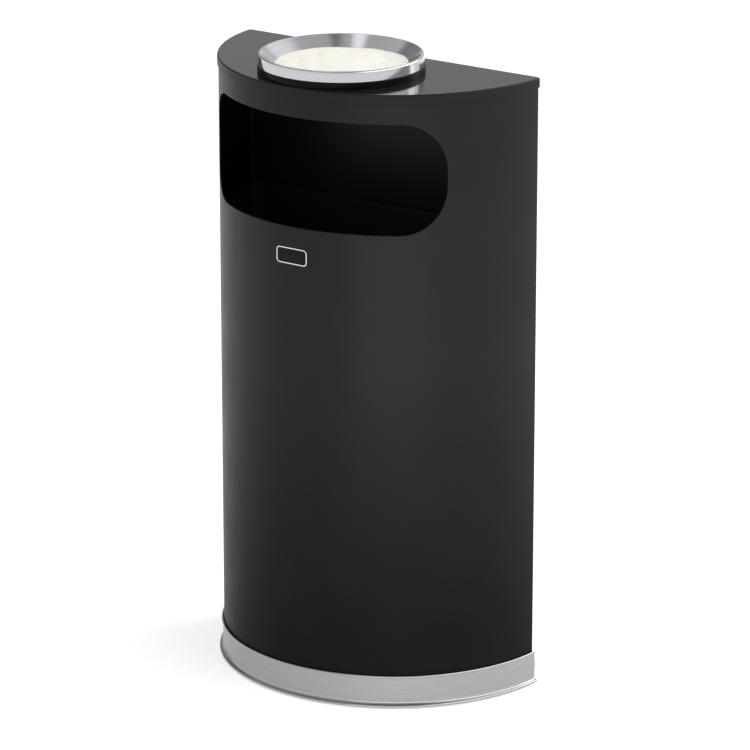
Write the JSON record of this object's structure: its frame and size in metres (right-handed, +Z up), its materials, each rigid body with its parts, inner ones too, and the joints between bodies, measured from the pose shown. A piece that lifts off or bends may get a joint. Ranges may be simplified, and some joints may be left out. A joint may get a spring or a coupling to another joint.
{
  "type": "half-round ashtray bin",
  "caption": "Half-round wall-side litter bin in black sheet steel with a wide front opening, a lift-off lid with a sand ash pan, a lift-out liner and a satin metal base ring.",
  "frame": {"origin": "on the floor, under the middle of the bin's bounding box", "axes": "+Z up, +X along the flat back, the curved front faces -Y and the flat back faces +Y"},
  "size_m": [0.4588, 0.2249, 0.8226],
  "materials": {
    "black_paint": "fine satin black powder coat on steel sheet",
    "lid_paint": "semi-gloss black powder coat on steel sheet",
    "painted_rivet": "black-painted steel rivet",
    "satin_metal": "satin brushed along the band",
    "spun_aluminium": "spun and softly polished",
    "seat_plastic": "smooth black moulding",
    "badge": "black plate with a bright raised border",
    "sand": "loose dry cream sand",
    "liner_plastic": "moulded black plastic",
    "foot_rubber": "moulded black rubber",
    "zinc_steel": "bright zinc plate"
  },
  "bodies": {
    "body": {"front_shell": "black_paint", "back_panel": "black_paint", "back_rivets": "painted_rivet", "floor_pan": "black_paint", "floor_rivets": "painted_rivet", "base_ring": "satin_metal", "ring_rivets": "satin_metal", "badge_plate": "badge", "foot_1": "foot_rubber", "foot_2": "foot_rubber", "foot_3": "foot_rubber", "foot_4": "foot_rubber", "foot_screws": "zinc_steel", "foot_nuts": "zinc_steel"},
    "liner": {"liner": "liner_plastic"},
    "lid": {"lid_cover": "lid_paint", "seat_ring": "seat_plastic", "seat_screws": "zinc_steel"},
    "pan": {"ash_pan": "spun_aluminium", "sand": "sand"}
  },
  "joints": [
    {"name": "liner_lift", "type": "slide", "parent": "body", "child": "liner", "axis": [0, 0, 1], "range_m": [0, 0.8]},
    {"name": "lid_lift", "type": "slide", "parent": "liner", "child": "lid", "axis": [0, 0, 1], "range_m": [0, 0.2]},
    {"name": "pan_lift", "type": "slide", "parent": "lid", "child": "pan", "axis": [0, 0, 1], "range_m": [0, 0.12]}
  ]
}
